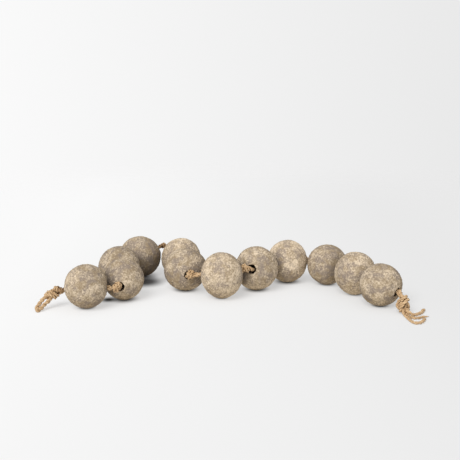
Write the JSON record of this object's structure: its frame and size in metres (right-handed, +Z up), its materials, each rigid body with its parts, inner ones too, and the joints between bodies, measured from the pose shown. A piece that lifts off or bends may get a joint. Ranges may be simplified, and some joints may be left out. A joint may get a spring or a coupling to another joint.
{
  "type": "papier-mache ball garland",
  "caption": "Garland of hand-formed papier-mache balls on knotted jute twine, with a hanging loop and loose tag ends, lying in a loose wave.",
  "frame": {"origin": "on the surface that the garland lies on, under the middle of the box of its balls and strung twine", "axes": "+X along the garland from its hanging loop to its loose ends, +Y away from the side that the picture shows, +Z up from the surface"},
  "size_m": [0.5463, 0.2679, 0.0683],
  "materials": {
    "paper_pulp": "matte, mottled beige over grey-taupe pulp, slightly lumpy",
    "jute_twine": "two-ply natural jute, fuzzy, matte"
  },
  "bodies": {
    "root": {"ball_01": "paper_pulp", "ball_02": "paper_pulp", "ball_03": "paper_pulp", "ball_04": "paper_pulp", "ball_05": "paper_pulp", "ball_06": "paper_pulp", "ball_07": "paper_pulp", "ball_08": "paper_pulp", "ball_09": "paper_pulp", "ball_10": "paper_pulp", "ball_11": "paper_pulp", "ball_12": "paper_pulp", "twine": "jute_twine", "hanging_loop": "jute_twine", "upper_end": "jute_twine", "middle_end": "jute_twine", "lower_end": "jute_twine"}
  },
  "joints": []
}
